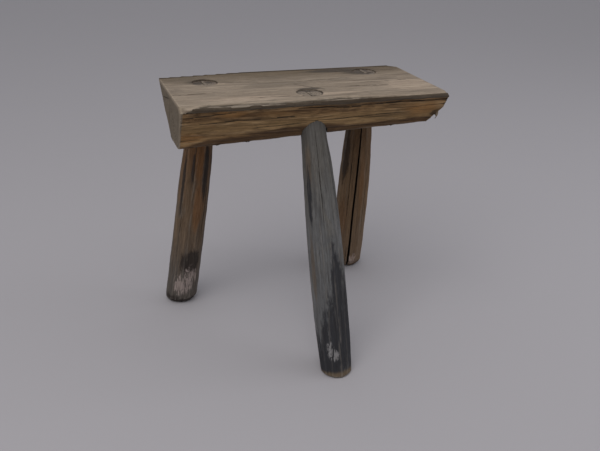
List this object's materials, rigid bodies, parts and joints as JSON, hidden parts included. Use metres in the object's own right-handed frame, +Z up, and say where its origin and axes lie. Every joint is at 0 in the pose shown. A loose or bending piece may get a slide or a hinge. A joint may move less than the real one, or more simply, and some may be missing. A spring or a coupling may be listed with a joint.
{
  "type": "stool",
  "caption": "Low rustic stool: a split log slab with a flat top on splayed round legs, their tenons wedged through the seat.",
  "frame": {"origin": "on the floor, under the middle of the whole stool's bounding box", "axes": "+Z up, square to the flat seat; +X along the seat's grain, from the thick left end to the thin chipped right end; +Y from the single front leg towards the two rear legs"},
  "size_m": [0.3674, 0.3488, 0.382],
  "materials": {
    "seat_wood": "weathered, bare, greyed on top and brown on the hewn front",
    "leg_left_rear_wood": "hewn, bare, brown above and dark grey at the foot",
    "leg_front_wood": "hewn, bare, weathered grey, almost black near the foot",
    "leg_right_rear_wood": "hewn, bare, dark brown with a long drying split",
    "wedge_wood": "split, bare, dirty end grain"
  },
  "bodies": {
    "root": {"seat": "seat_wood", "leg_left_rear": "leg_left_rear_wood", "leg_front": "leg_front_wood", "leg_right_rear": "leg_right_rear_wood", "wedge_left_rear": "wedge_wood", "wedge_front": "wedge_wood", "wedge_right_rear": "wedge_wood"}
  },
  "joints": []
}
